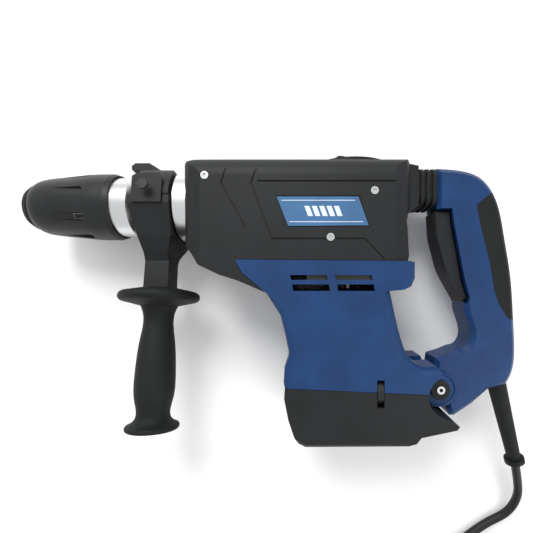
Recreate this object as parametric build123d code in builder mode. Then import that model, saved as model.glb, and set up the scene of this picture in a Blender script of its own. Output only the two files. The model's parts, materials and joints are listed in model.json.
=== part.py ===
"""SDS-max rotary hammer lying on its right flank.

X is the working axis, tool end towards -X.  Y is the tool's own "up".  Z is up from the surface.
The origin is on the resting flank, under the working axis.
"""
import os
from math import cos, radians, sin, tan

from build123d import *

os.makedirs("parts", exist_ok=True)

# Driving dimensions, millimetres
HALF = 46.0            # half width of the housings; the mid-plane is this far above the surface
WALL = 4.0             # housing wall
BORE_R = 9.0           # SDS-max tool bore
TIP_X = -264.0         # front of the dust cap
MOUTH_X = -262.0       # front of the tool bore
BORE_LENGTH = 86.0
SPINDLE_R = 19.5
CYLINDER_R = 15.0
SLEEVE_TRAVEL = 6.0
HANDLE_TILT = 8.0      # turn of the side handle about the working axis
HANDLE_X = -134.5      # axis of the side handle
STUD_R = 4.0
MOTOR_X = 48.0         # axis of the motor, parallel to Y
CRANK_X = 74.0
INTER_X = 18.0
PINION_R = 6.0
CRANK_R = 20.0
INTER_R = 24.0
PIVOT = (132.0, -175.0)  # pivot of the damped rear handle
BOSS_CLEAR_R = 18.6    # concave seat of the housings around the pivot boss
GRIP_HALF = 18.0       # half thickness of the rear handle
TRIGGER_TRAVEL = 6.0
CORD_R = 4.25
COIL_CENTRE = (190.5, -435.1)
COIL_MEAN_R = 51.0
COIL_WIDE = 4          # turns beside each other
COIL_HIGH = 3          # turns on each other

WORK_AXIS = Axis((0, 0, HALF), (1, 0, 0))
MID = Plane.XY.offset(HALF)
SIDE_SCREWS = [(-82, 19), (66.5, 5.7), (28, -35)]
BASE_SCREWS = [(1.5, -203), (92, -204)]
SCREW_LOW = 80.0       # lower end of the screws in the gear housing


def export(part, name):
    """Label one finished piece and write it."""
    part.label = name
    export_step(part, f"parts/{name}.step")


def along(x, y, z, direction):
    """Plane at a point whose normal is the given direction."""
    across = (1, 0, 0) if direction[0] == 0 else (0, 1, 0)
    return Plane(origin=(x, y, z), x_dir=across, z_dir=direction)


# ---------------------------------------------------------------- tool end
with BuildPart() as dust_cap:
    with BuildSketch(MID):
        with BuildLine():
            Polyline((TIP_X, 10.5), (TIP_X, 17.5), (TIP_X + 1.2, 19.2), (-258.3, 22), (-256.5, 22), (-256.5, 19.3),
                     (-259.5, 19.3), (-259.5, 16.05), (-262, 16.05), (-262, 10.5), close=True)
        make_face()
    revolve(axis=WORK_AXIS)
export(dust_cap.part, "dust_cap")

with BuildPart() as tool_holder:
    with BuildSketch(MID):
        with BuildLine():
            Polyline((MOUTH_X, BORE_R + 1), (MOUTH_X, 16), (-178, 16), (-178, SPINDLE_R), (30, SPINDLE_R),
                     (30, CYLINDER_R), (-148, CYLINDER_R), (-148, 12), (MOUTH_X + BORE_LENGTH, 12),
                     (MOUTH_X + BORE_LENGTH, BORE_R), (MOUTH_X + 1, BORE_R), close=True)
        make_face()
    revolve(axis=WORK_AXIS)
    with BuildSketch(Plane.XY.offset(HALF)):
        with Locations((-232, 0)):
            SlotOverall(26, 8)
    extrude(amount=30, both=True, mode=Mode.SUBTRACT)
export(tool_holder.part, "tool_holder")

with BuildPart() as locking_rollers:
    for side in (1, -1):
        with BuildSketch(Plane.XY.offset(HALF + side * 9.6)):
            with Locations((-232, 0)):
                SlotOverall(18, 7.6)
        extrude(amount=side * 6)
export(locking_rollers.part, "locking_rollers")

with BuildPart() as chuck_sleeve:
    with BuildSketch(MID):
        with BuildLine():
            Line((-256, 20.2), (-256, 22.4))
            Spline((-256, 22.4), (-251, 25.6), (-241, 27.8), (-221, 29.8), (-201, 31.7), (-186, 32.1))
            Line((-186, 32.1), (-180, 32.1))
            Line((-180, 32.1), (-175.8, 30.6))
            Polyline((-175.8, 30.6), (-175.8, 29.3), (-197, 29.3), (-197, 26), (-215, 26), (-215, 16.4),
                     (-240, 16.4), (-240, 20.2), (-256, 20.2))
        make_face()
    revolve(axis=WORK_AXIS)
    for step in range(8):
        turned = MID.rotated((45 * step + 26, 0, 0))
        with BuildSketch(Plane(origin=(-222, 0, HALF), x_dir=(1, 0, 0), z_dir=turned.z_dir).offset(28.8)):
            SlotOverall(46, 8)
        extrude(amount=8, mode=Mode.SUBTRACT)
export(chuck_sleeve.part, "chuck_sleeve")

with BuildPart() as sleeve_spring:
    with BuildSketch(MID):
        with Locations((-205, 22.6)):
            Rectangle(15, 0.7)
        for coil in range(4):
            with Locations((-212 + 4.6 * coil, 23.2)):
                Circle(1.3)
    revolve(axis=WORK_AXIS)
export(sleeve_spring.part, "sleeve_spring")

with BuildPart() as nose_barrel:
    with BuildSketch(MID):
        with BuildLine():
            Polyline((-188, 20.1), (-188, 28.6), (-160, 28.6), (-157, 26), (-156.5, 23), (-116, 23), (-116, 33),
                     (-115, 33.8), (-103, 33.8), (-102, 33), (-102, 28), (-84, 28), (-84, 20.1), close=True)
        make_face()
    revolve(axis=WORK_AXIS)
export(nose_barrel.part, "nose_barrel")

with BuildPart() as spindle_bearing:
    with BuildSketch(MID):
        with Locations((-74, 26.8)):
            Rectangle(14, 14.4)
    revolve(axis=WORK_AXIS)
export(spindle_bearing.part, "spindle_bearing")

with BuildPart() as spindle_gear:
    with BuildSketch(MID):
        with BuildLine():
            Polyline((-8, SPINDLE_R), (-8, 28), (0, 31), (9.2, 31), (9.2, SPINDLE_R), close=True)
        make_face()
    revolve(axis=WORK_AXIS)
export(spindle_gear.part, "spindle_gear")

with BuildPart() as impact_bolt:
    with BuildSketch(MID):
        with BuildLine():
            Polyline((-172, 0), (-172, 9), (-170, 11.9), (-144, 11.9), (-142, 14.95), (-120, 14.95), (-118, 13),
                     (-118, 0), close=True)
        make_face()
    revolve(axis=WORK_AXIS)
export(impact_bolt.part, "impact_bolt")

with BuildPart() as striker:
    with BuildSketch(MID):
        with BuildLine():
            Polyline((-100, 0), (-100, 10), (-88, 12), (-84, 14.95), (-56, 14.95), (-56, 0), close=True)
        make_face()
    revolve(axis=WORK_AXIS)
export(striker.part, "striker")

# Piston, rod and crank at mid stroke
PIN_X = CRANK_X - 10
PISTON_PIN_X = 8.0
with BuildPart() as piston:
    with BuildSketch(MID):
        with BuildLine():
            Polyline((-22, 0), (-22, 14.95), (16, 14.95), (16, 11), (-6, 11), (-6, 0), close=True)
        make_face()
    revolve(axis=WORK_AXIS)
    with BuildSketch(MID):
        with Locations((PISTON_PIN_X, 0)):
            Circle(4)
    extrude(amount=16, both=True, mode=Mode.SUBTRACT)
export(piston.part, "piston")

with BuildPart() as wrist_pin:
    with BuildSketch(MID):
        with Locations((PISTON_PIN_X, 0)):
            Circle(4)
    extrude(amount=14, both=True)
export(wrist_pin.part, "wrist_pin")

with BuildPart() as connecting_rod:
    with BuildSketch(Plane.XZ.offset(-5.5)):
        with Locations((PIN_X, HALF)):
            Circle(11)
        with Locations(((PISTON_PIN_X - 5.5 + PIN_X) / 2, HALF)):
            Rectangle(PIN_X - PISTON_PIN_X + 5.5, 10)
        with Locations((PIN_X, HALF)):
            Circle(5.05, mode=Mode.SUBTRACT)
    extrude(amount=11)
    with BuildSketch(MID):
        with Locations((PISTON_PIN_X, 0)):
            Circle(4.05)
    extrude(amount=16, both=True, mode=Mode.SUBTRACT)
export(connecting_rod.part, "connecting_rod")

with BuildPart() as crank_gear:
    with BuildSketch(along(CRANK_X, -50, HALF, (0, 1, 0))):
        Circle(7)
    extrude(amount=8)
    with BuildSketch(along(CRANK_X, -42, HALF, (0, 1, 0))):
        Circle(CRANK_R - 0.2)
    extrude(amount=8)
    with BuildSketch(along(CRANK_X, -34, HALF, (0, 1, 0))):
        Circle(16)
    extrude(amount=26)
    with BuildSketch(along(PIN_X, -8, HALF, (0, 1, 0))):
        Circle(5)
    extrude(amount=14)
export(crank_gear.part, "crank_gear")

with BuildPart() as intermediate_gear:
    with BuildSketch(along(INTER_X, -50, HALF, (0, 1, 0))):
        Circle(INTER_R - 0.2)
    extrude(amount=7)
    with BuildSketch(along(INTER_X, -43, HALF, (0, 1, 0))):
        Circle(5)
    extrude(amount=11)
    with BuildSketch(along(INTER_X, -32, HALF, (0, 1, 0))):
        Circle(8)
    extrude(amount=10)
export(intermediate_gear.part, "intermediate_gear")

# ---------------------------------------------------------------- side handle, in its own tilted plane
TILT = Plane(origin=(0, 0, HALF), x_dir=(1, 0, 0), z_dir=(0, sin(radians(HANDLE_TILT)), cos(radians(HANDLE_TILT))))
DOWN = (0, -cos(radians(HANDLE_TILT)), sin(radians(HANDLE_TILT)))
GRIP_AXIS = Axis((HANDLE_X, 0, HALF), DOWN)
FRONT = Plane(origin=(0, 0, HALF), x_dir=TILT.z_dir, z_dir=(-1, 0, 0))


def handle_plane(radius):
    """Plane across the side handle, at a distance from the working axis."""
    return Plane(origin=(HANDLE_X, DOWN[1] * radius, HALF + DOWN[2] * radius), x_dir=(1, 0, 0), z_dir=DOWN)


with BuildPart() as side_handle_yoke:
    with BuildSketch(TILT):
        with BuildLine():
            Polyline((-155, -0.5), (-145.5, -49), (-146, -81.4), (-123, -81.4), (-123.5, -50), (-117, -34),
                     (-117, -0.5), close=True)
        make_face()
    extrude(amount=38, both=True)
    with BuildSketch(FRONT):
        with BuildLine():
            Polyline((-36, 0), (-36, -8), (-25, -36), (-11.8, -56), (-11.8, -82), (11.8, -82), (11.8, -56),
                     (25, -36), (36, -8), (36, 0), close=True)
        make_face()
    extrude(amount=200, both=True, mode=Mode.INTERSECT)
    with BuildSketch(along(-160, 0, HALF, (1, 0, 0))):
        Circle(25.6)
    extrude(amount=50, mode=Mode.SUBTRACT)
    with BuildSketch(handle_plane(20)):
        Circle(STUD_R + 0.05)
    extrude(amount=70, mode=Mode.SUBTRACT)
export(side_handle_yoke.part, "side_handle_yoke")

with BuildPart() as clamp_strap:
    with BuildSketch(MID):
        with Locations((-134, 24.4)):
            Rectangle(24, 2)
    revolve(axis=WORK_AXIS)
export(clamp_strap.part, "clamp_strap")

with BuildPart() as clamp_cap:
    with BuildSketch(TILT):
        with BuildLine():
            Polyline((-150, 0.5), (-150, 30.5), (-160, 32), (-165, 35), (-165.5, 39), (-162, 42), (-148, 42), (-131, 31),
                     (-120, 30), (-118, 24), (-118, 0.5), close=True)
        make_face()
    extrude(amount=36, both=True)
    with BuildSketch(FRONT):
        with BuildLine():
            Line((36, 0.5), (36, 4))
            ThreePointArc((36, 4), (28, 23), (11, 34))
            Polyline((11, 34), (11, 43), (-8, 43), (-8, 35))
            ThreePointArc((-8, 35), (-28, 23), (-36, 4))
            Polyline((-36, 4), (-36, 0.5), (36, 0.5))
        make_face()
    extrude(amount=200, both=True, mode=Mode.INTERSECT)
    with BuildSketch(along(-170, 0, HALF, (1, 0, 0))):
        Circle(25.6)
    extrude(amount=60, mode=Mode.SUBTRACT)
export(clamp_cap.part, "clamp_cap")

with BuildPart() as clamp_block:
    with BuildSketch(TILT.offset(38.2)):
        with BuildLine():
            Polyline((-150, -8), (-150, 16), (-146, 19), (-126, 19), (-123, 16), (-123, -8), close=True)
        make_face()
    extrude(amount=7, taper=18)
    with BuildSketch(TILT.offset(38.2)):
        with Locations((-136, 5)):
            Rectangle(22, 20)
    extrude(amount=-12)
    add(side_handle_yoke.part, mode=Mode.SUBTRACT)
    add(clamp_cap.part, mode=Mode.SUBTRACT)
export(clamp_block.part, "clamp_block")

with BuildPart() as clamp_bolt:
    with BuildSketch(TILT.offset(45.2)):
        with Locations((-136, 5)):
            RegularPolygon(5, 6)
    extrude(amount=2.4)
export(clamp_bolt.part, "clamp_bolt")

with BuildPart() as grip_stud:
    with BuildSketch(handle_plane(26.5)):
        Circle(STUD_R)
    extrude(amount=120)
export(grip_stud.part, "grip_stud")

with BuildPart() as side_grip:
    with BuildSketch(TILT):
        with BuildLine():
            Line((HANDLE_X, -81.8), (HANDLE_X + 20, -81.8))
            Line((HANDLE_X + 20, -81.8), (HANDLE_X + 33, -84.8))
            ThreePointArc((HANDLE_X + 33, -84.8), (HANDLE_X + 36.7, -89.4), (HANDLE_X + 33, -94))
            Line((HANDLE_X + 33, -94), (HANDLE_X + 17, -98))
            Spline((HANDLE_X + 17, -98), (HANDLE_X + 14, -106), (HANDLE_X + 15.4, -130), (HANDLE_X + 17.8, -162),
                   (HANDLE_X + 16.8, -184), (HANDLE_X + 15.2, -200), (HANDLE_X + 22.5, -206.5))
            ThreePointArc((HANDLE_X + 22.5, -206.5), (HANDLE_X + 23.5, -209), (HANDLE_X + 22, -211))
            Polyline((HANDLE_X + 22, -211), (HANDLE_X + 12, -213), (HANDLE_X, -213), (HANDLE_X, -81.8))
        make_face()
    revolve(axis=GRIP_AXIS)
    with BuildSketch(handle_plane(81)):
        Circle(STUD_R + 0.3)
    extrude(amount=70, mode=Mode.SUBTRACT)
export(side_grip.part, "side_grip")

# ---------------------------------------------------------------- gear housing, two halves


def gear_outline():
    """Outer side outline of the gear housing."""
    with BuildSketch(Plane.XY) as outline:
        with BuildLine():
            Polyline((-30, -83), (-53, -73), (-69, -68), (-88, -59), (-93.5, -50), (-101, -41), (-102, 31), (-94, 35.5),
                     (-60, 37.5), (88, 37.5), (112, 35), (112, -3), (99, -9), (96, -20), (101, -50), (97.5, -55.7),
                     (-56, -54.2))
            Polyline((-56, -54.2), (-50, -66), (-30, -83))
        make_face()
    return outline.sketch


def gear_cavity():
    """Side outline of the space inside the gear housing."""
    with BuildSketch(Plane.XY) as outline:
        with BuildLine():
            Polyline((-98, 29), (-90, 32), (-60, 33.5), (88, 33.5), (108, 31), (108, 1), (94, -6), (92, -20), (96.5, -51.6),
                     (-60, -50.2), (-66, -62), (-85, -55), (-97, -40), close=True)
        make_face()
    return outline.sketch


def gear_solid(outline, inset):
    """Solid inside the side outline, the plan outline and the cross-section together."""
    half = HALF - inset
    with BuildPart() as solid:
        add(outline)
        extrude(amount=2 * HALF)
        with BuildSketch(Plane.XZ.offset(-60)):
            with BuildLine():
                Polyline((-102, HALF - half + 9), (-97, HALF - half + 3), (-86, HALF - half), (84, HALF - half),
                         (97, HALF - half + 8), (103, HALF - half + 22), (112, HALF - half + 24),
                         (112, HALF + half - 24), (103, HALF + half - 22), (97, HALF + half - 8),
                         (84, HALF + half), (-86, HALF + half), (-97, HALF + half - 3),
                         (-102, HALF + half - 9), close=True)
            make_face()
        extrude(amount=200, mode=Mode.INTERSECT)
        with BuildSketch(Plane.YZ.offset(-110)):
            with Locations((-30, HALF)):
                RectangleRounded(135.6 - 2 * inset, 2 * half, 19)
        extrude(amount=240, mode=Mode.INTERSECT)
    return solid.part


def screw_bosses(places, low):
    """Posts that the screws run into, down to a height."""
    with BuildPart() as bosses:
        with BuildSketch(Plane.XY.offset(low)):
            with Locations(places):
                Circle(5)
        extrude(amount=2 * HALF - low - 1)
    return bosses.part


def screw_holes(places, low, top):
    """Clearance holes from a height up to the near flank, with counterbores."""
    with BuildPart() as holes:
        with BuildSketch(Plane.XY.offset(low)):
            with Locations(places):
                Circle(2.1)
        extrude(amount=top - low)
        with BuildSketch(Plane.XY.offset(top - 2.6)):
            with Locations(places):
                Circle(4.2)
        extrude(amount=10)
    return holes.part


def screws(places, low, top):
    """Round-headed screws along Z with hexagon sockets, heads in the near flank."""
    with BuildPart() as screw_set:
        with BuildSketch(Plane.XY.offset(low)):
            with Locations(places):
                Circle(2)
        extrude(amount=top - 2.6 - low)
        with BuildSketch(Plane.XY.offset(top - 2.6)):
            with Locations(places):
                Circle(3.5)
        extrude(amount=2.2)
        with BuildSketch(Plane.XY.offset(top - 1.8)):
            with Locations(places):
                RegularPolygon(1.7, 6)
        extrude(amount=3, mode=Mode.SUBTRACT)
    return screw_set.part


def near_face_cutters():
    """Grooves, dial slot and vents that open on the near flank."""
    with BuildPart() as cutters:
        with BuildSketch(Plane.XY.offset(2 * HALF - 1.2)):
            with BuildLine():
                Polyline((-36, 12.7), (101, 12.7), (101, 14.3), (-36, 14.3), close=True)
            make_face()
            with BuildLine():
                Polyline((-63, 30), (-68, 12), (-46.5, -27), (-45, -27), (-66.2, 12), (-61.2, 30), close=True)
            make_face()
            with BuildLine():
                Polyline((-36, 24), (-40.5, 12), (-22.5, -35.7), (58, -35.7), (75, -54), (75, -56), (57.2, -37.3),
                         (-23.6, -37.3), (-42.1, 12), (-37.7, 24), close=True)
            make_face()
        extrude(amount=10)
        with BuildSketch(Plane.XY.offset(2 * HALF - 0.8)):
            with BuildLine():
                Polyline((-20, 1), (53.2, 1), (62.3, -26), (-10.3, -26.5), close=True)
            make_face()
        extrude(amount=10)
    return cutters.part


def gear_half(keep):
    """One half of the gear housing, with its inner webs and openings."""
    with BuildPart() as half:
        add(gear_solid(gear_outline(), 0))
        add(gear_solid(gear_cavity(), WALL), mode=Mode.SUBTRACT)
        add(screw_bosses(SIDE_SCREWS, SCREW_LOW - 3))
        with BuildSketch(Plane.YZ.offset(-84)):
            with Locations((-2, HALF)):
                RectangleRounded(69, 84, 17)
        extrude(amount=20)
        with BuildSketch(Plane.YZ.offset(-110)):
            with Locations((0, HALF)):
                Circle(28.05)
        extrude(amount=29, mode=Mode.SUBTRACT)
        with BuildSketch(Plane.YZ.offset(-82)):
            with Locations((0, HALF)):
                Circle(34.05)
        extrude(amount=24, mode=Mode.SUBTRACT)
        with BuildSketch(along(MOTOR_X, -60, HALF, (0, 1, 0))):
            Circle(9)
        extrude(amount=12, mode=Mode.SUBTRACT)
        add(screw_holes(SIDE_SCREWS, SCREW_LOW, 2 * HALF), mode=Mode.SUBTRACT)
        add(near_face_cutters(), mode=Mode.SUBTRACT)
        with BuildSketch(Plane.XZ.offset(-20)):
            with Locations((38, HALF)):
                Circle(10)
        extrude(amount=-40, mode=Mode.SUBTRACT)
        with BuildSketch(Plane.YZ.offset(106)):
            with Locations((16, HALF)):
                Rectangle(26, 28)
        extrude(amount=10, mode=Mode.SUBTRACT)
        split(bisect_by=MID, keep=keep)
    return half.part


export(gear_half(Keep.TOP), "gear_housing_left")
export(gear_half(Keep.BOTTOM), "gear_housing_right")

# ---------------------------------------------------------------- motor housing, two halves


VENTS = [(-7.4, -68.2, 4.3), (31.7, -68.2, 4.3), (-5.6, -76.4, 5.7), (33.5, -76.4, 5.7)]  # start x, top y, height


def motor_outline():
    """Outer side outline of the motor housing."""
    with BuildSketch(Plane.XY) as outline:
        with BuildLine():
            Polyline((-55.6, -54.6), (97.4, -56), (101, -57), (101, -71), (98, -78), (92, -81), (81, -82), (85.6, -104), (90, -122),
                     (95, -137), (101, -145), (110, -150), (123, -149.5), (126, -156), (126, -173.1), (-12, -166.8), (-13.4, -162),
                     (-12.5, -149), (-9, -140), (-9, -135), (-11.6, -122), (-16, -104), (-29.4, -82.9),
                     (-49.5, -65.8), close=True)
        make_face()
    return outline.sketch


def motor_half(keep):
    """One half of the motor housing."""
    with BuildPart() as half:
        add(motor_outline())
        extrude(amount=2 * HALF)
        with BuildSketch(Plane.XY):
            with Locations(PIVOT):
                Circle(BOSS_CLEAR_R)
        extrude(amount=2 * HALF, mode=Mode.SUBTRACT)
        for flank in (-1, 0):
            for radius, low_x, high_x in ((6, -40, 20), (9, 60, 120)):
                rim = half.faces().sort_by(Axis.Z)[flank].edges().filter_by_position(Axis.Y, -163, -84)
                fillet(rim.filter_by_position(Axis.X, low_x, high_x), radius)
        with BuildSketch(Plane.XY.offset(WALL)):
            with BuildLine():
                Polyline((-48, -58.5), (96, -60), (96, -67), (88, -76), (77.5, -83), (81.4, -104), (86, -122), (91, -139),
                         (97, -148), (106, -154), (106, -176), (-8, -176), (-9, -162), (-4.5, -140), (-4.5, -135),
                         (-7.4, -122), (-12, -103), (-26, -80.5), (-42, -68), close=True)
            make_face()
        extrude(amount=2 * (HALF - WALL), mode=Mode.SUBTRACT)
        with BuildSketch(along(MOTOR_X, -54, HALF, (0, -1, 0))):
            Circle(9)
        extrude(amount=20, mode=Mode.SUBTRACT)
        for start, top, height in VENTS:
            with BuildSketch(Plane.XY):
                with BuildLine():
                    Polyline((start, top), (start + 32, top), (start + 33, top - height), (start + 1, top - height),
                             close=True)
                make_face()
            extrude(amount=2 * HALF, mode=Mode.SUBTRACT)
        with BuildSketch(Plane.XY.offset(2 * HALF - 12)):
            with Locations((71.6, -172)):
                Rectangle(6.6, 24)
        extrude(amount=20, mode=Mode.SUBTRACT)
        with BuildSketch(MID):
            with Locations((112, -160)):
                Rectangle(40, 44)
        extrude(amount=9.2, both=True, mode=Mode.SUBTRACT)
        split(bisect_by=MID, keep=keep)
    return half.part


export(motor_half(Keep.TOP), "motor_housing_left")
export(motor_half(Keep.BOTTOM), "motor_housing_right")

with BuildPart() as base_cover:
    with BuildSketch(Plane.XY):
        with BuildLine():
            Polyline((-12, -167.1), (126, -173.5), (126, -193), (140.5, -200.5), (138, -203.5), (107, -210), (103, -215),
                     (97, -218.5), (6, -219), (0, -216), (-4, -209), (-9, -194), (-12.5, -176), close=True)
        make_face()
        with Locations(PIVOT):
            Circle(BOSS_CLEAR_R, mode=Mode.SUBTRACT)
    extrude(amount=2 * HALF)
    for flank in (-1, 0):
        rim = base_cover.faces().sort_by(Axis.Z)[flank].edges().filter_by_position(Axis.Y, -219.2, -203)
        chamfer(rim.filter_by_position(Axis.X, 0, 98), 3)
    with BuildSketch(Plane.XY.offset(WALL)):
        with BuildLine():
            Polyline((-8, -160), (107, -160), (107, -195), (104, -205), (96, -212), (7, -214), (1, -209), (-5, -193),
                     close=True)
        make_face()
    extrude(amount=2 * (HALF - WALL), mode=Mode.SUBTRACT)
    add(screw_bosses(BASE_SCREWS, 1), mode=Mode.ADD)
    add(mirror(screw_holes(BASE_SCREWS, 12, 2 * HALF), about=MID, mode=Mode.PRIVATE), mode=Mode.SUBTRACT)
    with BuildSketch(Plane.XY.offset(2 * HALF - 12)):
        with Locations((71.6, -172)):
            Rectangle(6.6, 24)
    extrude(amount=20, mode=Mode.SUBTRACT)
    with BuildSketch(MID):
        with Locations((116, -172)):
            Rectangle(32, 40)
    extrude(amount=9.2, both=True, mode=Mode.SUBTRACT)
export(base_cover.part, "base_cover")

# Bracket from the housing to the pivot of the rear handle
with BuildPart() as pivot_bracket:
    with BuildSketch(MID):
        with BuildLine():
            Polyline((98, -161), (118, -161), (140, -161), (146, -175), (140, -189), (118, -189), (98, -189), close=True)
        make_face()
        with Locations(PIVOT):
            Circle(6.03, mode=Mode.SUBTRACT)
    extrude(amount=9, both=True)
export(pivot_bracket.part, "pivot_bracket")

with BuildPart() as badge_plate:
    with BuildSketch(Plane.XY.offset(2 * HALF - 0.8)):
        with BuildLine():
            Polyline((-19, 0), (52, 0), (61, -25), (-9, -25.5), close=True)
        make_face()
    extrude(amount=1)
export(badge_plate.part, "badge_plate")


with BuildPart() as housing_screws:
    add(screws(SIDE_SCREWS, SCREW_LOW, 2 * HALF))
    add(mirror(screws(BASE_SCREWS, 12, 2 * HALF), about=MID, mode=Mode.PRIVATE))
export(housing_screws.part, "housing_screws")

# ---------------------------------------------------------------- controls
MODE_X = 52.0
with BuildPart() as mode_bezel:
    with BuildSketch(along(MODE_X, 37.5, HALF, (0, 1, 0))):
        Ellipse(34.5, 27)
        Circle(24.3, mode=Mode.SUBTRACT)
    extrude(amount=4.4)
export(mode_bezel.part, "mode_bezel")

with BuildPart() as mode_selector:
    with BuildSketch(along(MODE_X, 37.9, HALF, (0, 1, 0))):
        Circle(24)
    extrude(amount=3)
    with BuildSketch(MID):
        with BuildLine():
            Polyline((MODE_X - 22, 40.9), (MODE_X - 19, 46), (MODE_X - 14, 49.5), (MODE_X - 9, 49), (MODE_X + 2, 45.5),
                     (MODE_X + 20, 40.9), close=True)
        make_face()
    extrude(amount=8, both=True)
export(mode_selector.part, "mode_selector")

DIAL_X = 71.6
with BuildPart() as speed_dial:
    with BuildSketch(Plane.YZ.offset(DIAL_X - 2.8)):
        with Locations((-172, 2 * HALF - 10.2)):
            RegularPolygon(11, 24)
    extrude(amount=5.6)
export(speed_dial.part, "speed_dial")

# ---------------------------------------------------------------- motor
with BuildPart() as armature_shaft:
    with BuildSketch(along(MOTOR_X, -186, HALF, (0, 1, 0))):
        Circle(4)
    extrude(amount=136)
    with BuildSketch(along(MOTOR_X, -51, HALF, (0, 1, 0))):
        Circle(PINION_R)
    extrude(amount=17)
export(armature_shaft.part, "armature_shaft")

with BuildPart() as armature_core:
    with BuildSketch(along(MOTOR_X, -148, HALF, (0, 1, 0))):
        Circle(20)
        Circle(4, mode=Mode.SUBTRACT)
        with PolarLocations(20, 12):
            Rectangle(6, 2.4, mode=Mode.SUBTRACT)
    extrude(amount=50)
export(armature_core.part, "armature_core")

with BuildPart() as commutator:
    with BuildSketch(along(MOTOR_X, -172, HALF, (0, 1, 0))):
        Circle(11.5)
        Circle(4, mode=Mode.SUBTRACT)
    extrude(amount=20)
export(commutator.part, "commutator")

with BuildPart() as cooling_fan:
    with BuildSketch(along(MOTOR_X, -90, HALF, (0, 1, 0))):
        Circle(23)
        Circle(4, mode=Mode.SUBTRACT)
    extrude(amount=2)
    with BuildSketch(along(MOTOR_X, -88, HALF, (0, 1, 0))):
        Circle(7)
        Circle(4, mode=Mode.SUBTRACT)
        with PolarLocations(14.5, 10):
            Rectangle(17, 1.4)
    extrude(amount=8)
export(cooling_fan.part, "cooling_fan")

with BuildPart() as stator:
    with BuildSketch(along(MOTOR_X, -148, HALF, (0, 1, 0))):
        Rectangle(58, 66)
        Circle(21, mode=Mode.SUBTRACT)
    extrude(amount=50)
    chamfer(stator.edges().filter_by(Axis.Y).group_by(Axis.X)[0] + stator.edges().filter_by(Axis.Y).group_by(Axis.X)[-1], 7)
export(stator.part, "stator")

with BuildPart() as stator_frame:
    with BuildSketch(along(MOTOR_X - 4, -126, HALF, (0, 1, 0))):
        Rectangle(73.5, 2 * (HALF - WALL))
        with Locations((4, 0)):
            Rectangle(58, 66, mode=Mode.SUBTRACT)
    extrude(amount=6)
export(stator_frame.part, "stator_frame")

with BuildPart() as upper_bearing_plate:
    with BuildSketch(along(MOTOR_X - 6, -74.5, HALF, (0, 1, 0))):
        Rectangle(70, 2 * (HALF - WALL))
        with Locations((6, 0)):
            Circle(7.05, mode=Mode.SUBTRACT)
    extrude(amount=7)
export(upper_bearing_plate.part, "upper_bearing_plate")

with BuildPart() as motor_bearings:
    for start in (-74.5, -186):
        with BuildSketch(along(MOTOR_X, start, HALF, (0, 1, 0))):
            Circle(7.0)
            Circle(4.05, mode=Mode.SUBTRACT)
        extrude(amount=7)
export(motor_bearings.part, "motor_bearings")

with BuildPart() as lower_bearing_plate:
    with BuildSketch(along(MOTOR_X, -186, HALF, (0, 1, 0))):
        Rectangle(97, 2 * (HALF - WALL))
        Circle(7.05, mode=Mode.SUBTRACT)
    extrude(amount=6)
    with BuildSketch(along(DIAL_X, -187, 2 * HALF - 15, (0, 1, 0))):
        Rectangle(10, 40)
    extrude(amount=8, mode=Mode.SUBTRACT)
export(lower_bearing_plate.part, "lower_bearing_plate")

with BuildPart() as carbon_brushes:
    for side in (1, -1):
        with BuildSketch(along(MOTOR_X, -164, HALF + side * 12, (0, 0, side))):
            Rectangle(6, 10)
        extrude(amount=14)
export(carbon_brushes.part, "carbon_brushes")

with BuildPart() as brush_holders:
    for side in (1, -1):
        with BuildSketch(along(MOTOR_X, -164, HALF + side * 15, (0, 0, side))):
            Rectangle(11, 15)
            Rectangle(6, 10, mode=Mode.SUBTRACT)
        extrude(amount=12)
        with BuildSketch(along(MOTOR_X, -175.5, HALF + side * 15, (0, 0, side))):
            Rectangle(11, 9)
        extrude(amount=12)
export(brush_holders.part, "brush_holders")

with BuildPart() as control_board:
    with BuildSketch(along(40, -209, HALF, (0, 1, 0))):
        Rectangle(60, 2 * (HALF - WALL))
    extrude(amount=1.6)
    with BuildSketch(along(40, -207.4, HALF, (0, 1, 0))):
        with GridLocations(22, 26, 2, 2):
            Rectangle(14, 16)
    extrude(amount=12)
export(control_board.part, "control_board")

# ---------------------------------------------------------------- damped rear handle
EXIT = (219.2, -257, 38)       # where the cord leaves the strain relief
BOOT_START = (195.5, -174, 47)
BOOT_DIR = (EXIT[0] - BOOT_START[0], EXIT[1] - BOOT_START[1], EXIT[2] - BOOT_START[2])
BOOT_AXIS = Axis(BOOT_START, BOOT_DIR)


def pad_region(clearance):
    """Side outline of the rubber pad on the back of the grip."""
    with BuildSketch(Plane.XY) as outline:
        with BuildLine():
            Polyline((215, 14), (187 - clearance, 14.5 + clearance), (168 - clearance, -1), (172.7 - clearance, -24),
                     (180.4 - clearance, -55), (185.2 - clearance, -84), (190 - clearance, -96.5 - clearance),
                     (197.5, -108.6 - clearance), (215, -114 - clearance), close=True)
        make_face()
    return outline.sketch


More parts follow.
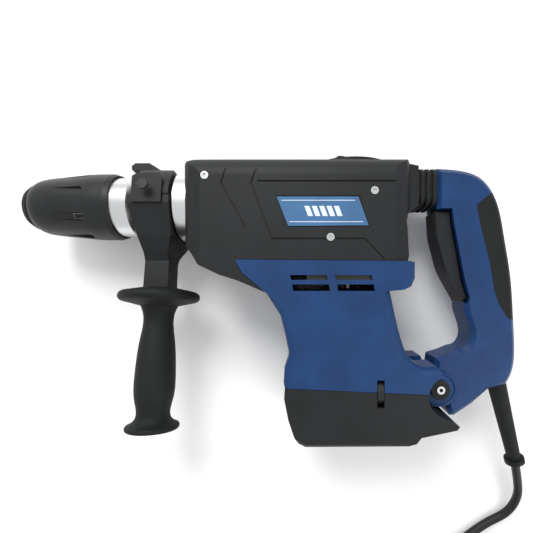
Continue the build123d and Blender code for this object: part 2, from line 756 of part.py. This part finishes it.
def handle_body():
    """Outer solid of the rear handle."""
    with BuildPart() as body:
        with BuildSketch(Plane.XY.offset(HALF - GRIP_HALF)):
            with BuildLine():
                Spline((131.2, 34.4), (154, 32.6), (173, 26), (186, 10), (196, -29), (202, -67), (205, -111), (206, -138),
                       (204, -158), (197, -172))
                Polyline((197, -172), (181, -176), (165, -190), (148, -201.5), (143.5, -201.5), (139.5, -190.9))
                ThreePointArc((139.5, -190.9), (114.5, -175), (128.5, -157.9))
                Polyline((128.5, -157.9), (130, -146.6), (142, -143), (151.5, -139))
                Spline((151.5, -139), (161, -134), (164, -125), (162, -114), (157.5, -94.5))
                Polyline((157.5, -94.5), (139, -62), (131.2, -28), (131.2, 34.4))
            make_face()
        extrude(amount=2 * GRIP_HALF)
        for flank in (body.faces().sort_by(Axis.Z)[-1], body.faces().sort_by(Axis.Z)[0]):
            chamfer(flank.edges(), 4)
        with BuildSketch(Plane.XY.offset(HALF - GRIP_HALF - 3)):
            with Locations(PIVOT):
                Circle(16.5)
        extrude(amount=2 * (GRIP_HALF + 3))
    return body.part


HANDLE_SCREWS = [(142, 24), (196, -150)]
HANDLE_LOW = HALF - GRIP_HALF + 4
SWITCH = [(158, -22), (166, -24), (173.5, -56), (163, -58)]
HANDLE = handle_body()


def handle_half(keep):
    """One half of the rear handle."""
    with BuildPart() as half:
        add(HANDLE)
        with BuildSketch(Plane.XY):
            add(pad_region(0.0))
        extrude(amount=2 * HALF, mode=Mode.SUBTRACT)
        with BuildSketch(Plane.XY.offset(HALF - 13)):
            with BuildLine():
                Polyline((128, -4), (164, -4), (168, -24), (176.5, -56), (181, -86), (184, -97), (166, -97), (158.5, -95.2),
                         (128, -60), close=True)
            make_face()
        extrude(amount=26, mode=Mode.SUBTRACT)
        with BuildSketch(Plane.XY):
            with BuildLine():
                Polyline((126, -4), (145, -4), (147, -19), (151.5, -43), (157, -72), (162, -90), (159.5, -95.5),
                         (126, -60), close=True)
            make_face()
        extrude(amount=2 * HALF, mode=Mode.SUBTRACT)
        with BuildSketch(MID):
            with Locations(PIVOT):
                Circle(6.0)
        extrude(amount=40, both=True, mode=Mode.SUBTRACT)
        with BuildSketch(MID):
            with BuildLine():
                Polyline((108, -157.5), (143, -157), (149.5, -175), (143, -193), (108, -192.5), close=True)
            make_face()
        extrude(amount=9.4, both=True, mode=Mode.SUBTRACT)
        with BuildSketch(Plane(origin=BOOT_START, z_dir=BOOT_DIR)):
            Circle(8.9)
        extrude(amount=60, mode=Mode.SUBTRACT)
        handle_holes = screw_holes(HANDLE_SCREWS, HANDLE_LOW, HALF + GRIP_HALF)
        add(mirror(handle_holes, about=MID, mode=Mode.PRIVATE), mode=Mode.SUBTRACT)
        split(bisect_by=MID, keep=keep)
    return half.part


export(handle_half(Keep.TOP), "rear_handle_left")
export(handle_half(Keep.BOTTOM), "rear_handle_right")

with BuildPart() as rear_grip_pad:
    add(HANDLE)
    with BuildSketch(Plane.XY):
        add(pad_region(-0.1))
    extrude(amount=2 * HALF, mode=Mode.INTERSECT)
export(rear_grip_pad.part, "rear_grip_pad")

export(mirror(screws(HANDLE_SCREWS, HANDLE_LOW, HALF + GRIP_HALF), about=MID), "handle_screws")

with BuildPart() as trigger:
    with BuildSketch(MID):
        with BuildLine():
            Polyline((129, -5), (130.6, -30), (138.6, -61), (156.5, -93), (160.5, -89), (155, -72), (150, -43), (145.5, -19),
                     (144, -5), close=True)
        make_face()
    extrude(amount=12.5, both=True)
    chamfer(trigger.edges().filter_by_position(Axis.X, 128, 139), 2)
export(trigger.part, "trigger")

with BuildPart() as switch_unit:
    with BuildSketch(MID):
        with BuildLine():
            Polyline(*SWITCH, close=True)
        make_face()
    extrude(amount=12.9, both=True)
export(switch_unit.part, "switch_unit")

with BuildPart() as pivot_bolt:
    with BuildSketch(MID):
        with Locations(PIVOT):
            Circle(5.95)
    extrude(amount=21.2, both=True)
    with BuildSketch(Plane.XY.offset(HALF + GRIP_HALF + 3.2)):
        with Locations(PIVOT):
            Circle(9)
    extrude(amount=1.6)
    with BuildSketch(Plane.XY.offset(HALF + GRIP_HALF + 4.8)):
        with Locations(PIVOT):
            Circle(3.7)
            RegularPolygon(1.9, 6, mode=Mode.SUBTRACT)
    extrude(amount=2)
export(pivot_bolt.part, "pivot_bolt")

with BuildPart() as bellows:
    with BuildSketch(Plane.YZ.offset(112.2)):
        with Locations((16, HALF)):
            RectangleRounded(32, 38, 7)
            RectangleRounded(27, 32, 5, mode=Mode.SUBTRACT)
    extrude(amount=18.6)
    for ridge in range(3):
        with BuildSketch(Plane.YZ.offset(114.5 + 5.6 * ridge)):
            with Locations((16, HALF)):
                RectangleRounded(36, 42, 8)
                RectangleRounded(27, 32, 5, mode=Mode.SUBTRACT)
        extrude(amount=3)
export(bellows.part, "bellows")

with BuildPart() as damper_spring:
    with BuildSketch(Plane.XY.offset(HALF)):
        with Locations((121.2, 25)):
            Rectangle(15, 0.7)
        for turn in range(5):
            with Locations((114 + 3.6 * turn, 25)):
                Circle(1.2)
    revolve(axis=Axis((0, 16, HALF), (1, 0, 0)))
export(damper_spring.part, "damper_spring")

with BuildPart() as strain_relief:
    with BuildSketch(Plane(origin=BOOT_START, z_dir=BOOT_DIR)):
        Circle(8.75)
    with BuildSketch(Plane(origin=BOOT_START, z_dir=BOOT_DIR).offset(82.5)):
        Circle(6.4)
    loft()
    with BuildSketch(Plane(origin=BOOT_START, z_dir=BOOT_DIR).offset(82.5)):
        Circle(9.5)
    extrude(amount=(Vector(*EXIT) - Vector(*BOOT_START)).length - 82.5)
export(strain_relief.part, "strain_relief")

# ---------------------------------------------------------------- supply cord
ROUTE = [
    EXIT,
    (230, -282, 25),
    (238.5, -309, 12),
    (230.5, -331.5, 5),
    (207, -343, 4.25),
    (185, -358.5, 4.25),
    (164, -374.7, 4.25),
]
TAIL = [
    (241.5, -447, 34.5),
    (240, -462, 32),
    (232, -476, 29.9),
    (218.5, -486, 29.75),
]


def corner_radii(points):
    """Bend radius at each corner: 0.45 of the shorter run over the tangent of half the turn."""
    radii = []
    for before, corner, after in zip(points, points[1:], points[2:]):
        run_in = Vector(*corner) - Vector(*before)
        run_out = Vector(*after) - Vector(*corner)
        half_turn = radians(run_in.get_angle(run_out)) / 2
        radii.append(0.45 * min(run_in.length, run_out.length) / tan(half_turn))
    return radii


def cord(points, name):
    """Round cord along a route of straight runs and tangent arcs."""
    radii = corner_radii(points)
    with BuildPart() as tube:
        with BuildLine() as path:
            FilletPolyline(*points, radius=radii)
        with BuildSketch(Plane(origin=points[0], z_dir=path.line % 0)):
            Circle(CORD_R)
        sweep(path=path.line)
    length = sum(edge.length for edge in path.line.edges())
    print(name, "radii", [round(r, 1) for r in radii], "length", round(length, 1),
          "volume", round(tube.part.volume), "of", round(length * 3.14159 * CORD_R ** 2))
    export(tube.part, name)


cord(ROUTE, "cord_tube")
cord(TAIL, "cord_tail")

with BuildPart() as cord_coil:
    with BuildSketch(Plane.XY):
        with Locations(COIL_CENTRE):
            Circle(COIL_MEAN_R + COIL_WIDE * CORD_R)
            Circle(COIL_MEAN_R - COIL_WIDE * CORD_R, mode=Mode.SUBTRACT)
    extrude(amount=2 * CORD_R * COIL_HIGH)
export(cord_coil.part, "cord_coil")

with BuildPart() as plug_body:
    with BuildSketch(along(241.5, -447, 34.5, (0, 1, 0))):
        Circle(5.5)
    with BuildSketch(along(241.5, -425, 34.5, (0, 1, 0))):
        RectangleRounded(24, 16, 6)
    loft()
    with BuildSketch(along(241.5, -425, 34.5, (0, 1, 0))):
        RectangleRounded(35, 17.6, 8)
    extrude(amount=34)
export(plug_body.part, "plug_body")

with BuildPart() as plug_pins:
    with BuildSketch(along(241.5, -391, 34.5, (0, 1, 0))):
        with GridLocations(19, 1, 2, 1):
            Circle(2.4)
    extrude(amount=19)
export(plug_pins.part, "plug_pins")
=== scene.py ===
import json
from math import cos, pi, radians, sin, sqrt

import bmesh
import bpy
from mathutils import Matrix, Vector

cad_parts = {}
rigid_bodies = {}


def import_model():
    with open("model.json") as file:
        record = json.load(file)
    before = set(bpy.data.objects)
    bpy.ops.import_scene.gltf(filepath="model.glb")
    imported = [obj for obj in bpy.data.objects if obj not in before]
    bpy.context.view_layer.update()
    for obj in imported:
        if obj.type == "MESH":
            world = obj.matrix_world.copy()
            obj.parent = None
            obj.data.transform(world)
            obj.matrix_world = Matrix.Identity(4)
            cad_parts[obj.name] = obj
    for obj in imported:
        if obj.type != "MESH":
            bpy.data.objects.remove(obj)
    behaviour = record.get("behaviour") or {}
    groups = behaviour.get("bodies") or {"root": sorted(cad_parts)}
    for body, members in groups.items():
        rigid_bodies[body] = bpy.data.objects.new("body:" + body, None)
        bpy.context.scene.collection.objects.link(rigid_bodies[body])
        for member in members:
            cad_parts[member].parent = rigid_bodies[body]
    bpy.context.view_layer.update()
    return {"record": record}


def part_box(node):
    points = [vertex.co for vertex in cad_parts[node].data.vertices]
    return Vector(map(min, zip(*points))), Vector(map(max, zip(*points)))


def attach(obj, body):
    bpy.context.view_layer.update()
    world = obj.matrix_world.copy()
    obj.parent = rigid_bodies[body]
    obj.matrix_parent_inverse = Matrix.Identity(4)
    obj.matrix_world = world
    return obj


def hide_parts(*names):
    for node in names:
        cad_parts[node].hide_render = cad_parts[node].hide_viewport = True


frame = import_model()

# Lengths are in millimetres, and MM turns them into metres.
MM = 0.001
HALF = 46.0            # the working axis is this far above the surface
CORD_D = 8.5
PIVOT = (132, -175)    # hinge of the rear handle

# ------------------------------------------------------------------ camera
EYE = (10.0, -76.0, HALF + 350.0)
LENS = 23.64
SENSOR = 36.0
SHIFT_X = -0.0816
SHIFT_Y = 0.0328
NEAR_CLIP = 20

camera_data = bpy.data.cameras.new("camera")
camera_data.lens = LENS
camera_data.sensor_width = SENSOR
camera_data.shift_x = SHIFT_X
camera_data.shift_y = SHIFT_Y
camera_data.clip_start = NEAR_CLIP * MM
camera = bpy.data.objects.new("camera", camera_data)
camera.location = Vector(EYE) * MM
bpy.context.scene.collection.objects.link(camera)
bpy.context.scene.camera = camera

# ------------------------------------------------------------------ supply cord
EXIT = (219.2, -257, 38)
ROUTE = [
    EXIT,
    (230, -282, 25),
    (238.5, -309, 12),
    (230.5, -331.5, 5),
    (207, -343, 4.25),
    (185, -358.5, 4.25),
    (164, -374.7, 4.25),
]
TAIL = [
    (218.5, -486, 29.75),
    (232, -476, 29.9),
    (240, -462, 32),
    (241.5, -447, 34.5),
]
COIL_CENTRE = (190.5, -435.1)
COIL_MEAN_R = 51.0
COIL_WIDE = 4
COIL_HIGH = 3
TURN_POINTS = 16
JOIN_ANGLE = 129.0     # where the cord meets the outermost turn
SHIFT_POINTS = 3       # points over which a turn moves to the next place
# Up from the last turn to the tail: direction in degrees, growth of the radius, height
LEAD_OUT = [
    (129, 0, 21.5),
    (149, 0, 25.5),
    (169, 0.5, 29.2),
    (192, 3, 29.8),
    (216, 7, 29.8),
    (242, 11, 29.8),
    (270, 15.5, 29.8),
]
# The smooth curve runs inside its control points, so they stand further out by this ratio
CONTROL_SCALE = 1 / (0.75 + 0.25 * cos(2 * pi / TURN_POINTS))
CURVE_STEPS = 6
ROUND_STEPS = 5


def coil_place(turn):
    """Radius and height of one turn: across a layer, then back across the next."""
    layer, across = divmod(turn, COIL_WIDE)
    if layer % 2:
        across = COIL_WIDE - 1 - across
    outer = COIL_MEAN_R + (COIL_WIDE - 1) * CORD_D / 2
    return outer - across * CORD_D, CORD_D / 2 + layer * CORD_D


def on_coil(angle, radius, height):
    """Control point of the coil in one direction from its centre."""
    reach = radius * CONTROL_SCALE
    return (COIL_CENTRE[0] + reach * cos(angle), COIL_CENTRE[1] + reach * sin(angle), height)


def coil_points():
    """Control points of all turns and of the way up from the last one."""
    points = []
    turns = COIL_WIDE * COIL_HIGH
    for turn in range(turns):
        here = coil_place(turn)
        following = coil_place(min(turn + 1, turns - 1))
        for step in range(TURN_POINTS):
            part = max(0.0, (step - TURN_POINTS + SHIFT_POINTS) / SHIFT_POINTS)
            angle = radians(JOIN_ANGLE) + 2 * pi * step / TURN_POINTS
            points.append(on_coil(angle, here[0] + part * (following[0] - here[0]),
                                  here[1] + part * (following[1] - here[1])))
    last_r = coil_place(turns - 1)[0]
    for degrees, grow, height in LEAD_OUT:
        points.append(on_coil(radians(degrees), last_r + grow, height))
    return points


def nurbs(name, points, radius):
    """Round tube along a smooth curve."""
    curve = bpy.data.curves.new(name, "CURVE")
    curve.dimensions = "3D"
    curve.resolution_u = CURVE_STEPS
    curve.bevel_depth = radius * MM
    curve.bevel_resolution = ROUND_STEPS
    curve.use_fill_caps = True
    spline = curve.splines.new("NURBS")
    spline.points.add(len(points) - 1)
    for point, place in zip(spline.points, points):
        point.co = (*(Vector(place) * MM), 1)
    spline.order_u = 3
    spline.use_endpoint_u = True
    piece = bpy.data.objects.new(name, curve)
    bpy.context.scene.collection.objects.link(piece)
    return piece


cord = nurbs("supply_cord", ROUTE + coil_points() + TAIL, CORD_D / 2)
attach(cord, "rear_handle")
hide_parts("cord_tube", "cord_coil", "cord_tail")

# ------------------------------------------------------------------ materials
GRAIN_DETAIL = 4.0
BLOTCH_SCALE = 35.0
BLOTCH_ENDS = ((0.3, 0.86), (0.7, 1.12))   # place on the ramp, and share of the colour's brightness there
MOULDED_SPECULAR = 0.28
TURNING_SCALE = (2400, 12, 12)             # fine across the lines, long around the axis
TURNING_STRENGTH = 0.35
TURNING_DEPTH = 0.00004


def new_material(name, colour, roughness, metallic=0.0):
    """Plain material, with its node tree and its shader."""
    material = bpy.data.materials.new(name)
    material.use_nodes = True
    shader = material.node_tree.nodes["Principled BSDF"]
    shader.inputs["Base Color"].default_value = (*colour, 1)
    shader.inputs["Roughness"].default_value = roughness
    shader.inputs["Metallic"].default_value = metallic
    return material, material.node_tree, shader


def add_bump(tree, shader, height, strength, depth):
    """Bump on the shader from a height output."""
    bump = tree.nodes.new("ShaderNodeBump")
    bump.inputs["Strength"].default_value = strength
    bump.inputs["Distance"].default_value = depth
    tree.links.new(height, bump.inputs["Height"])
    tree.links.new(bump.outputs["Normal"], shader.inputs["Normal"])


def add_grain(tree, shader, scale, depth):
    """Fine moulded grain as a bump."""
    place = tree.nodes.new("ShaderNodeTexCoord")
    noise = tree.nodes.new("ShaderNodeTexNoise")
    noise.inputs["Scale"].default_value = scale
    noise.inputs["Detail"].default_value = GRAIN_DETAIL
    tree.links.new(place.outputs["Object"], noise.inputs["Vector"])
    add_bump(tree, shader, noise.outputs["Fac"], 1.0, depth)


def moulded(name, colour, roughness, grain=900.0, depth=0.00006):
    """Moulded plastic or rubber: faint mottling in colour and a fine grain."""
    material, tree, shader = new_material(name, colour, roughness)
    place = tree.nodes.new("ShaderNodeTexCoord")
    blotch = tree.nodes.new("ShaderNodeTexNoise")
    blotch.inputs["Scale"].default_value = BLOTCH_SCALE
    ramp = tree.nodes.new("ShaderNodeValToRGB")
    for element, (position, share) in zip(ramp.color_ramp.elements, BLOTCH_ENDS):
        element.position = position
        element.color = (*[c * share for c in colour], 1)
    tree.links.new(place.outputs["Object"], blotch.inputs["Vector"])
    tree.links.new(blotch.outputs["Fac"], ramp.inputs["Fac"])
    tree.links.new(ramp.outputs["Color"], shader.inputs["Base Color"])
    shader.inputs["Specular IOR Level"].default_value = MOULDED_SPECULAR
    add_grain(tree, shader, grain, depth)
    return material


def turned_metal(name, colour, roughness):
    """Metal with fine turning lines around the working axis."""
    material, tree, shader = new_material(name, colour, roughness, 1.0)
    place = tree.nodes.new("ShaderNodeTexCoord")
    stretch = tree.nodes.new("ShaderNodeMapping")
    stretch.inputs["Scale"].default_value = TURNING_SCALE
    noise = tree.nodes.new("ShaderNodeTexNoise")
    noise.inputs["Scale"].default_value = 1.0
    tree.links.new(place.outputs["Object"], stretch.inputs["Vector"])
    tree.links.new(stretch.outputs["Vector"], noise.inputs["Vector"])
    add_bump(tree, shader, noise.outputs["Fac"], TURNING_STRENGTH, TURNING_DEPTH)
    return material


MATERIALS = {
    "blue_plastic": moulded("blue_plastic", (0.006, 0.036, 0.125), 0.44),
    "black_plastic": moulded("black_plastic", (0.0095, 0.0105, 0.0115), 0.55),
    "soft_rubber": moulded("soft_rubber", (0.006, 0.007, 0.0075), 0.68, 600.0, 0.00012),
    "sleeve_plastic": moulded("sleeve_plastic", (0.013, 0.014, 0.015), 0.42),
    "cast_aluminium": turned_metal("cast_aluminium", (0.72, 0.73, 0.74), 0.3),
    "hard_steel": turned_metal("hard_steel", (0.42, 0.43, 0.45), 0.32),
    "black_steel": moulded("black_steel", (0.02, 0.02, 0.022), 0.35, 700.0, 0.00002),
    "zinc_steel": turned_metal("zinc_steel", (0.62, 0.63, 0.64), 0.28),
    "badge": moulded("badge", (0.055, 0.14, 0.28), 0.25, 500.0, 0.00001),
    "lamination": turned_metal("lamination", (0.3, 0.3, 0.31), 0.45),
    "copper": turned_metal("copper", (0.8, 0.4, 0.22), 0.3),
    "fan_plastic": moulded("fan_plastic", (0.06, 0.06, 0.06), 0.5),
    "board": moulded("board", (0.02, 0.12, 0.05), 0.35),
    "brass_part": turned_metal("brass_part", (0.75, 0.58, 0.28), 0.3),
    "carbon": moulded("carbon", (0.02, 0.02, 0.02), 0.6),
    "cord_rubber": moulded("cord_rubber", (0.012, 0.012, 0.013), 0.48, 500.0, 0.00004),
}
PALE_INK = moulded("pale_ink", (0.62, 0.68, 0.74), 0.4, 400.0, 0.00001)


def paint(piece, material):
    """Give a piece this one material."""
    piece.data.materials.clear()
    piece.data.materials.append(material)


for entry in frame["record"]["subparts"]:
    paint(bpy.data.objects[entry["node"]], MATERIALS[entry["material_slot"]])
paint(cord, MATERIALS["cord_rubber"])

# ------------------------------------------------------------------ detail pieces


def plate(name, outline, low, thickness, body, material, bevel=0.0):
    """Flat piece with a side outline in X and Y, standing on a height."""
    mesh = bpy.data.meshes.new(name)
    shape = bmesh.new()
    corners = [shape.verts.new((x * MM, y * MM, low * MM)) for x, y in outline]
    face = shape.faces.new(corners)
    raised = bmesh.ops.extrude_face_region(shape, geom=[face])
    tops = [item for item in raised["geom"] if isinstance(item, bmesh.types.BMVert)]
    bmesh.ops.translate(shape, verts=tops, vec=(0, 0, thickness * MM))
    bmesh.ops.recalc_face_normals(shape, faces=shape.faces)
    shape.to_mesh(mesh)
    shape.free()
    piece = bpy.data.objects.new(name, mesh)
    bpy.context.scene.collection.objects.link(piece)
    if bevel:
        rounding = piece.modifiers.new("rounding", "BEVEL")
        rounding.width = bevel * MM
        rounding.segments = 3
    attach(piece, body)
    paint(piece, material)
    return piece


# Badge: two pale lines and a plain slanted-bar emblem
BADGE_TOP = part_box("badge_plate")[1][2] / MM
BADGE_LEAN = 0.37      # sideways for each millimetre down
INK_SUNK = 0.05
INK_THICK = 0.12
LINE_LEFT, LINE_RIGHT = -16, 48
BAR_COUNT = 5
BAR_LEFT = 2
BAR_PITCH = 6.4
BAR_WIDE = 4.4
BAR_HIGH, BAR_LOW = -8.2, -17.0


def badge_strip(name, y_high, y_low, x_left, x_right):
    """Pale strip that leans with the badge."""
    outline = [
        (x_left - BADGE_LEAN * y_high, y_high),
        (x_right - BADGE_LEAN * y_high, y_high),
        (x_right - BADGE_LEAN * y_low, y_low),
        (x_left - BADGE_LEAN * y_low, y_low),
    ]
    piece = plate(name, outline, BADGE_TOP - INK_SUNK, INK_THICK, "housing", PALE_INK)
    return piece


badge_strip("badge_line_upper", -3.0, -3.6, LINE_LEFT, LINE_RIGHT)
badge_strip("badge_line_lower", -21.6, -22.2, LINE_LEFT, LINE_RIGHT)
for index in range(BAR_COUNT):
    left = BAR_LEFT + BAR_PITCH * index
    badge_strip(f"badge_bar_{index}", BAR_HIGH, BAR_LOW, left, left + BAR_WIDE)


def ring(name, centre, axis, major, minor, body, material):
    """Round bead around an axis."""
    bpy.ops.mesh.primitive_torus_add(
        location=Vector(centre) * MM,
        major_radius=major * MM,
        minor_radius=minor * MM,
        major_segments=64,
        minor_segments=12,
    )
    piece = bpy.context.object
    piece.name = name
    piece.rotation_euler = Vector(axis).to_track_quat("Z", "Y").to_euler()
    for polygon in piece.data.polygons:
        polygon.use_smooth = True
    bpy.context.view_layer.update()
    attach(piece, body)
    paint(piece, material)
    return piece


# Arrow at the sleeve, pointing to the rear. Most of it lies just under the surface.
ARROW_TAIL, ARROW_NECK, ARROW_TIP = -207, -195, -187.5
ARROW_Y = -13.6
SHAFT_HALF = 2
HEAD_HALF = 5
ARROW_R = 31.3         # distance from the working axis at the tail
ARROW_GROWTH = 0.03    # of that distance, for each millimetre to the rear
ARROW_LINE_R = 0.35


def sleeve_arrow():
    """Thin line along the arrow's outline, close to the near surface of the chuck sleeve."""
    outline = [
        (ARROW_TAIL, ARROW_Y + SHAFT_HALF),
        (ARROW_NECK, ARROW_Y + SHAFT_HALF),
        (ARROW_NECK, ARROW_Y + HEAD_HALF),
        (ARROW_TIP, ARROW_Y),
        (ARROW_NECK, ARROW_Y - HEAD_HALF),
        (ARROW_NECK, ARROW_Y - SHAFT_HALF),
        (ARROW_TAIL, ARROW_Y - SHAFT_HALF),
        (ARROW_TAIL, ARROW_Y + SHAFT_HALF),
    ]
    curve = bpy.data.curves.new("sleeve_arrow", "CURVE")
    curve.dimensions = "3D"
    curve.bevel_depth = ARROW_LINE_R * MM
    curve.bevel_resolution = 2
    line = curve.splines.new("POLY")
    line.points.add(len(outline) - 1)
    for point, (x, y) in zip(line.points, outline):
        radius = ARROW_R + (x - ARROW_TAIL) * ARROW_GROWTH
        place = Vector((x, y, HALF + sqrt(radius * radius - y * y)))
        point.co = (*(place * MM), 1)
    piece = bpy.data.objects.new("sleeve_arrow", curve)
    bpy.context.scene.collection.objects.link(piece)
    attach(piece, "locking_sleeve")
    paint(piece, moulded("arrow_edge", (0.09, 0.095, 0.1), 0.35))


sleeve_arrow()

# Black washer and raised ring around the pivot bolt
WASHER_R = 9.1
WASHER_POINTS = 48
WASHER_LOW = HALF + 22.2
WASHER_THICK = 1.3
WASHER_BEVEL = 0.4
RING_CENTRE = (*PIVOT, HALF + 21.2)
RING_R = 14.4
RING_BEAD_R = 0.9


def washer_outline():
    """Round outline about the pivot."""
    angles = [2 * pi * step / WASHER_POINTS for step in range(WASHER_POINTS)]
    return [(PIVOT[0] + WASHER_R * cos(angle), PIVOT[1] + WASHER_R * sin(angle)) for angle in angles]


disc = plate("pivot_washer_black", washer_outline(), WASHER_LOW, WASHER_THICK, "rear_handle",
             MATERIALS["black_plastic"], WASHER_BEVEL)
raised_ring = ring("pivot_ring", RING_CENTRE, (0, 0, 1), RING_R, RING_BEAD_R, "rear_handle",
                   MATERIALS["blue_plastic"])

# ------------------------------------------------------------------ studio
FLOOR_HALF = 6
FLOOR_COLOUR = (0.93, 0.93, 0.93)
FLOOR_ROUGHNESS = 0.9
AIM = (0, -0.1, 0)
WORLD_STRENGTH = 0.8

floor_corners = [
    (-FLOOR_HALF, -FLOOR_HALF, 0),
    (FLOOR_HALF, -FLOOR_HALF, 0),
    (FLOOR_HALF, FLOOR_HALF, 0),
    (-FLOOR_HALF, FLOOR_HALF, 0),
]
floor_mesh = bpy.data.meshes.new("floor")
floor_mesh.from_pydata(floor_corners, [], [(0, 1, 2, 3)])
floor = bpy.data.objects.new("floor", floor_mesh)
bpy.context.scene.collection.objects.link(floor)
floor_mesh.materials.append(new_material("floor", FLOOR_COLOUR, FLOOR_ROUGHNESS)[0])


def soft_light(name, place, size, power):
    """Round area light that points at the tool."""
    data = bpy.data.lights.new(name, "AREA")
    data.shape = "DISK"
    data.size = size
    data.energy = power
    light = bpy.data.objects.new(name, data)
    light.location = place
    light.rotation_euler = (Vector(AIM) - Vector(place)).to_track_quat("-Z", "Y").to_euler()
    bpy.context.scene.collection.objects.link(light)


soft_light("key", (-0.35, 1.1, 1.3), 0.9, 22)
soft_light("fill", (1.2, -0.9, 1.2), 1.2, 8)
world = bpy.data.worlds.new("studio")
world.use_nodes = True
world.node_tree.nodes["Background"].inputs["Color"].default_value = (1, 1, 1, 1)
world.node_tree.nodes["Background"].inputs["Strength"].default_value = WORLD_STRENGTH
bpy.context.scene.world = world
bpy.context.scene.view_settings.view_transform = "Standard"
